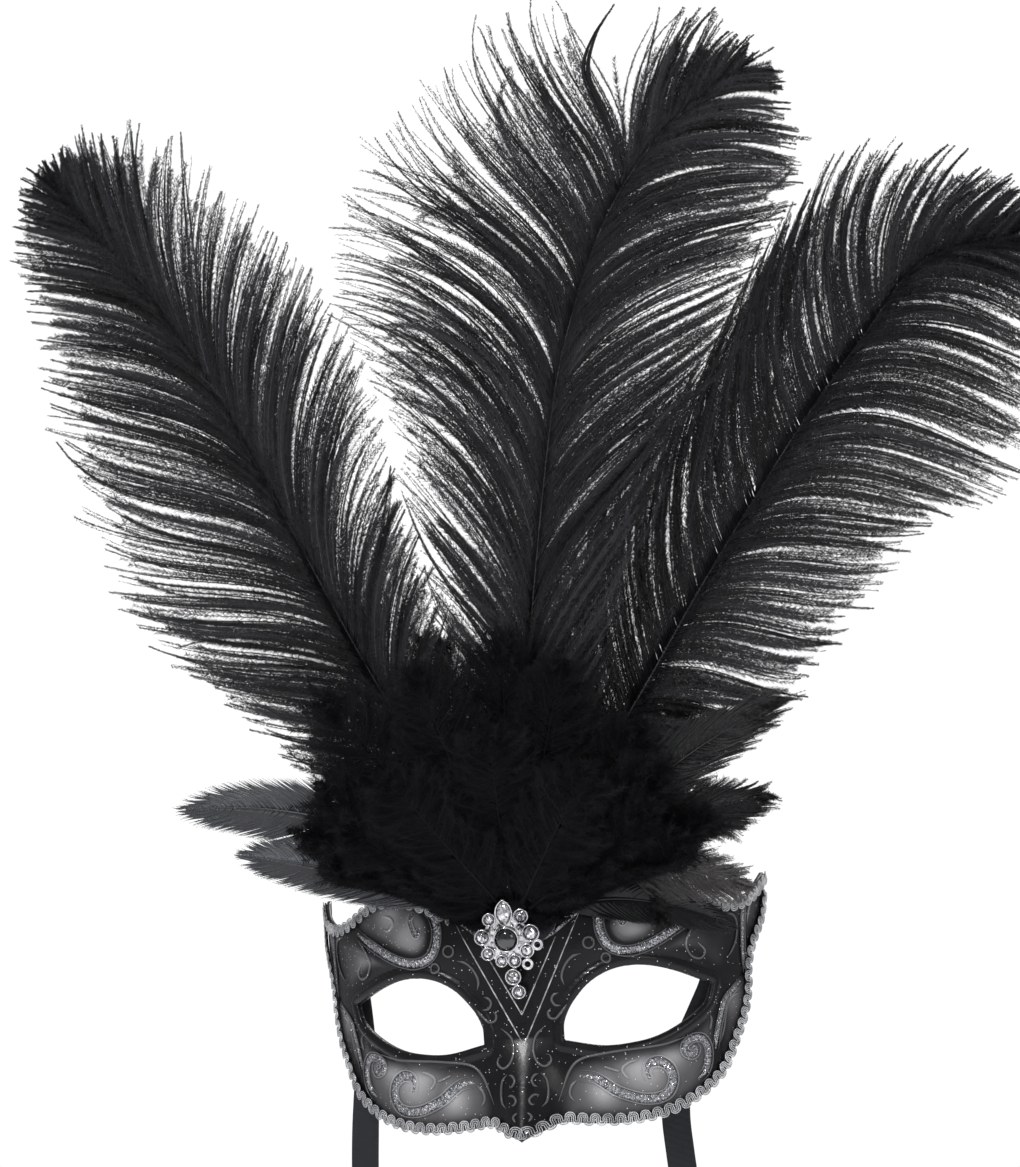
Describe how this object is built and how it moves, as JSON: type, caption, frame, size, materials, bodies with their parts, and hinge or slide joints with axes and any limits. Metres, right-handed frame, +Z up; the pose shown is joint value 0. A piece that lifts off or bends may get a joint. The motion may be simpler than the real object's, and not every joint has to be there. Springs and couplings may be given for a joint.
{
  "type": "venetian half mask",
  "caption": "Moulded Venetian half mask with scroll relief, gimp braid edge, rhinestone brooch, ruff of short feathers, tall ostrich plumes and satin ribbon ties.",
  "frame": {"origin": "inside face of the shell at the nose bridge, midway between the inner corners of the eye holes", "axes": "+X towards the viewer's right as the front is looked at, +Y back towards the wearer, +Z up towards the plumes"},
  "size_m": [0.386, 0.1012, 0.7498],
  "materials": {
    "shell": "satin black with airbrushed pewter panels and silver glitter relief",
    "braid": "silver metallic gimp thread",
    "felt": "black felt",
    "quill": "dyed black feather shaft",
    "plume": "dyed black ostrich barbs, soft sheen",
    "feather": "dyed black short feathers",
    "setting": "bright silver casting",
    "black_stone": "polished black stone",
    "clear_stone": "foil-backed clear rhinestone",
    "ribbon": "black satin ribbon"
  },
  "bodies": {
    "mask": {"mask_shell": "shell", "lower_braid": "braid", "upper_left_braid": "braid", "upper_right_braid": "braid", "front_pad": "felt", "back_pad": "felt", "left_plume_quill": "quill", "left_plume_vane": "plume", "middle_plume_quill": "quill", "middle_plume_vane": "plume", "right_plume_quill": "quill", "right_plume_vane": "plume", "short_feather_1": "feather", "short_feather_2": "feather", "short_feather_3": "feather", "short_feather_4": "feather", "short_feather_5": "feather", "short_feather_6": "feather", "short_feather_7": "feather", "short_feather_8": "feather", "short_feather_9": "feather", "short_feather_10": "feather", "short_feather_11": "feather", "short_feather_12": "feather", "short_feather_13": "feather", "short_feather_14": "feather", "short_feather_15": "feather", "short_feather_16": "feather", "short_feather_17": "feather", "short_feather_18": "feather", "short_feather_19": "feather", "short_feather_20": "feather", "short_feather_21": "feather", "upper_left_side_feather": "feather", "lower_left_side_feather": "feather", "upper_right_side_feather": "feather", "lower_right_side_feather": "feather", "temple_feather": "feather", "brooch_setting": "setting", "centre_stone": "black_stone", "marquise_stone": "clear_stone", "round_stones": "clear_stone", "drop_stones": "clear_stone", "left_tie_patch": "felt", "right_tie_patch": "felt", "left_tie_tab": "ribbon", "right_tie_tab": "ribbon"},
    "left_ribbon": {"left_tie": "ribbon"},
    "right_ribbon": {"right_tie": "ribbon"}
  },
  "joints": [
    {"name": "left_tie_swing", "type": "hinge", "parent": "mask", "child": "left_ribbon", "pos_m": [-0.0696, 0.0346, 0.027], "axis": [1, 0, 0], "range_deg": [0, 90]},
    {"name": "right_tie_swing", "type": "hinge", "parent": "mask", "child": "right_ribbon", "pos_m": [0.0696, 0.0346, 0.027], "axis": [1, 0, 0], "range_deg": [0, 90]}
  ]
}
